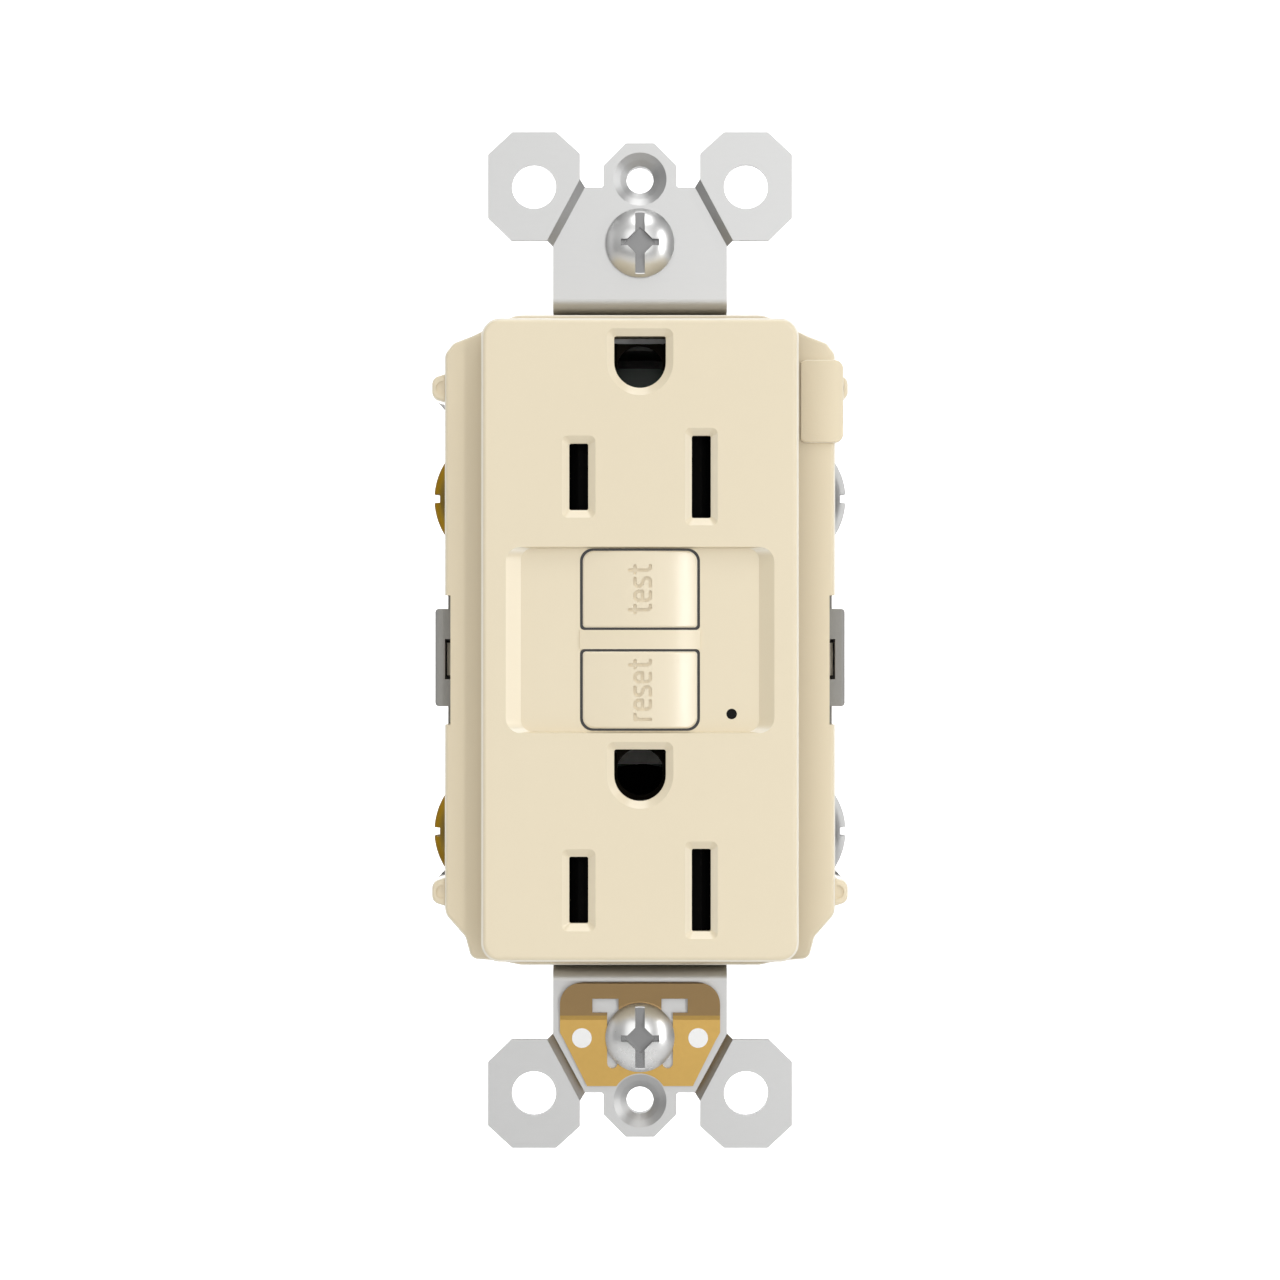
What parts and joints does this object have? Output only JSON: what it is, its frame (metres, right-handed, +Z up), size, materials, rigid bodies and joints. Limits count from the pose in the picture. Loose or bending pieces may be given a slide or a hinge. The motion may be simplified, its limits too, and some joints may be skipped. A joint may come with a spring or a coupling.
{
  "type": "gfci outlet",
  "caption": "Ground-fault duplex outlet for a decorator wall plate, with test and reset buttons, shuttered sockets, steel strap, side terminals and sealed trip mechanism.",
  "frame": {"origin": "middle of the device, on the plane where the strap's tongues seat on the box", "axes": "+X to the right seen from the room, +Y into the wall, +Z up along the device"},
  "size_m": [0.0442, 0.0352, 0.1066],
  "materials": {
    "ivory_plastic": "satin moulded",
    "grey_plastic": "fine matt",
    "strap_steel": "zinc plated, satin",
    "nickel_steel": "bright plated",
    "brass": "satin",
    "green_steel": "green plated",
    "spring_steel": "bright",
    "copper_winding": "enamelled wire",
    "black_plastic": "matt",
    "board": "solder mask",
    "blue_ceramic": "coated",
    "white_plastic": "matt",
    "clear_pipe": "clear",
    "ferrite": "coated"
  },
  "bodies": {
    "device": {"bus_bar_hot": "brass", "bus_bar_neutral": "brass", "capacitors": "black_plastic", "circuit_board": "board", "controller_chip": "black_plastic", "diodes_and_resistors": "black_plastic", "front_cover": "ivory_plastic", "ground_contact_rivets": "nickel_steel", "ground_contacts": "brass", "grounding_clip": "brass", "grounding_clip_rivets": "nickel_steel", "housing_screws": "nickel_steel", "indicator_lamp": "white_plastic", "light_pipe": "clear_pipe", "line_lead_hot": "brass", "line_lead_neutral": "brass", "line_terminal_hot": "brass", "line_terminal_neutral": "brass", "middle_separator": "white_plastic", "mounting_strap": "strap_steel", "rear_housing": "grey_plastic", "reset_spring": "spring_steel", "screw_retainers": "white_plastic", "sensing_coils": "ferrite", "sensor_cup": "black_plastic", "shutter_frames": "black_plastic", "shutter_spring_lower": "spring_steel", "shutter_spring_upper": "spring_steel", "solenoid_bobbin": "white_plastic", "solenoid_winding": "copper_winding", "solenoid_yoke": "nickel_steel", "test_contact_posts": "brass", "trip_thyristor": "black_plastic", "varistor": "blue_ceramic"},
    "test_button": {"test_button": "ivory_plastic"},
    "test_blade": {"test_contact_blade": "brass"},
    "reset_button": {"reset_button": "ivory_plastic", "reset_pin": "nickel_steel"},
    "carrier": {"contact_carrier": "white_plastic", "latch_spring": "spring_steel"},
    "latch": {"latch_plate": "nickel_steel"},
    "plunger": {"solenoid_plunger": "nickel_steel"},
    "arm_hot": {"contact_arm_hot": "brass"},
    "arm_neutral": {"contact_arm_neutral": "brass"},
    "shutter_upper_left": {"shutter_upper_left": "black_plastic"},
    "shutter_upper_right": {"shutter_upper_right": "black_plastic"},
    "shutter_lower_left": {"shutter_lower_left": "black_plastic"},
    "shutter_lower_right": {"shutter_lower_right": "black_plastic"},
    "ground_screw": {"ground_screw": "green_steel"},
    "box_screw_upper": {"mounting_screw_upper": "nickel_steel"},
    "box_screw_lower": {"mounting_screw_lower": "nickel_steel"},
    "screw_line_hot": {"terminal_screw_line_hot": "brass"},
    "clamp_line_hot": {"clamp_plate_line_hot": "nickel_steel"},
    "screw_line_neutral": {"terminal_screw_line_neutral": "nickel_steel"},
    "clamp_line_neutral": {"clamp_plate_line_neutral": "nickel_steel"},
    "screw_load_hot": {"terminal_screw_load_hot": "brass"},
    "clamp_load_hot": {"clamp_plate_load_hot": "nickel_steel"},
    "screw_load_neutral": {"terminal_screw_load_neutral": "nickel_steel"},
    "clamp_load_neutral": {"clamp_plate_load_neutral": "nickel_steel"}
  },
  "joints": [
    {"name": "test_press", "type": "slide", "parent": "device", "child": "test_button", "axis": [0, 1, 0], "range_m": [0, 0.0012], "stiffness_N_per_m": 300, "springref_m": -0.001},
    {"name": "test_blade_bend", "type": "hinge", "parent": "device", "child": "test_blade", "pos_m": [0.0047, 0.003, 0.00526], "axis": [0, 0, -1], "range_deg": [0, 14]},
    {"name": "reset_press", "type": "slide", "parent": "device", "child": "reset_button", "axis": [0, 1, 0], "range_m": [0, 0.0015], "stiffness_N_per_m": 400, "springref_m": -0.001, "deforming": ["reset_spring"]},
    {"name": "carrier_slide", "type": "slide", "parent": "device", "child": "carrier", "axis": [0, 1, 0], "range_m": [0, 0.0015]},
    {"name": "arm_hot_open", "type": "hinge", "parent": "device", "child": "arm_hot", "pos_m": [-0.0089, 0.0116, -0.0161], "axis": [-1, 0, 0], "range_deg": [0, 7.8]},
    {"name": "arm_neutral_open", "type": "hinge", "parent": "device", "child": "arm_neutral", "pos_m": [0.0089, 0.0116, -0.0161], "axis": [-1, 0, 0], "range_deg": [0, 7.8]},
    {"name": "trip_slide", "type": "slide", "parent": "device", "child": "plunger", "axis": [0, 0, -1], "range_m": [0, 0.0018], "stiffness_N_per_m": 150, "springref_m": -0.001},
    {"name": "latch_slide", "type": "slide", "parent": "carrier", "child": "latch", "axis": [0, 0, -1], "range_m": [0, 0.0018], "deforming": ["latch_spring"]},
    {"name": "shutter_upper_left_slide", "type": "slide", "parent": "device", "child": "shutter_upper_left", "axis": [1, 0, 0], "range_m": [0, 0.0026], "stiffness_N_per_m": 40, "springref_m": -0.001, "deforming": ["shutter_spring_upper"]},
    {"name": "shutter_upper_right_slide", "type": "slide", "parent": "device", "child": "shutter_upper_right", "axis": [-1, 0, 0], "range_m": [0, 0.0026]},
    {"name": "shutter_lower_left_slide", "type": "slide", "parent": "device", "child": "shutter_lower_left", "axis": [1, 0, 0], "range_m": [0, 0.0026], "stiffness_N_per_m": 40, "springref_m": -0.001, "deforming": ["shutter_spring_lower"]},
    {"name": "shutter_lower_right_slide", "type": "slide", "parent": "device", "child": "shutter_lower_right", "axis": [-1, 0, 0], "range_m": [0, 0.0026]},
    {"name": "screw_line_hot_turn", "type": "hinge", "parent": "device", "child": "screw_line_hot", "pos_m": [-0.018, 0.012, 0.0152], "axis": [-1, 0, 0], "range_deg": [0, 1080]},
    {"name": "clamp_line_hot_slide", "type": "slide", "parent": "device", "child": "clamp_line_hot", "axis": [1, 0, 0], "range_m": [0, 0.0024]},
    {"name": "screw_line_neutral_turn", "type": "hinge", "parent": "device", "child": "screw_line_neutral", "pos_m": [0.018, 0.012, 0.0152], "axis": [1, 0, 0], "range_deg": [0, 1080]},
    {"name": "clamp_line_neutral_slide", "type": "slide", "parent": "device", "child": "clamp_line_neutral", "axis": [-1, 0, 0], "range_m": [0, 0.0024]},
    {"name": "screw_load_hot_turn", "type": "hinge", "parent": "device", "child": "screw_load_hot", "pos_m": [-0.018, 0.012, -0.0206], "axis": [-1, 0, 0], "range_deg": [0, 1080]},
    {"name": "clamp_load_hot_slide", "type": "slide", "parent": "device", "child": "clamp_load_hot", "axis": [1, 0, 0], "range_m": [0, 0.0024]},
    {"name": "screw_load_neutral_turn", "type": "hinge", "parent": "device", "child": "screw_load_neutral", "pos_m": [0.018, 0.012, -0.0206], "axis": [1, 0, 0], "range_deg": [0, 1080]},
    {"name": "clamp_load_neutral_slide", "type": "slide", "parent": "device", "child": "clamp_load_neutral", "axis": [-1, 0, 0], "range_m": [0, 0.0024]},
    {"name": "ground_screw_turn", "type": "hinge", "parent": "device", "child": "ground_screw", "pos_m": [-0.0052, 0.0104, -0.0361], "axis": [0, 0, -1], "range_deg": [0, 720]},
    {"name": "box_screw_upper_turn", "type": "hinge", "parent": "device", "child": "box_screw_upper", "pos_m": [0, 0, 0.04167], "axis": [0, -1, 0], "continuous": true},
    {"name": "box_screw_lower_turn", "type": "hinge", "parent": "device", "child": "box_screw_lower", "pos_m": [0, 0, -0.04167], "axis": [0, -1, 0], "continuous": true}
  ],
  "couplings": [
    {"joint": "test_blade_bend", "follows": "test_press", "rad_per_m": 202},
    {"joint": "carrier_slide", "follows": "reset_press", "ratio": 1},
    {"joint": "arm_hot_open", "follows": "reset_press", "rad_per_m": 90},
    {"joint": "arm_neutral_open", "follows": "reset_press", "rad_per_m": 90},
    {"joint": "latch_slide", "follows": "trip_slide", "ratio": 1},
    {"joint": "shutter_upper_right_slide", "follows": "shutter_upper_left_slide", "ratio": 1},
    {"joint": "shutter_lower_right_slide", "follows": "shutter_lower_left_slide", "ratio": 1},
    {"joint": "clamp_line_hot_slide", "follows": "screw_line_hot_turn", "m_per_rad": 0.00012633},
    {"joint": "clamp_line_neutral_slide", "follows": "screw_line_neutral_turn", "m_per_rad": 0.00012633},
    {"joint": "clamp_load_hot_slide", "follows": "screw_load_hot_turn", "m_per_rad": 0.00012633},
    {"joint": "clamp_load_neutral_slide", "follows": "screw_load_neutral_turn", "m_per_rad": 0.00012633}
  ]
}
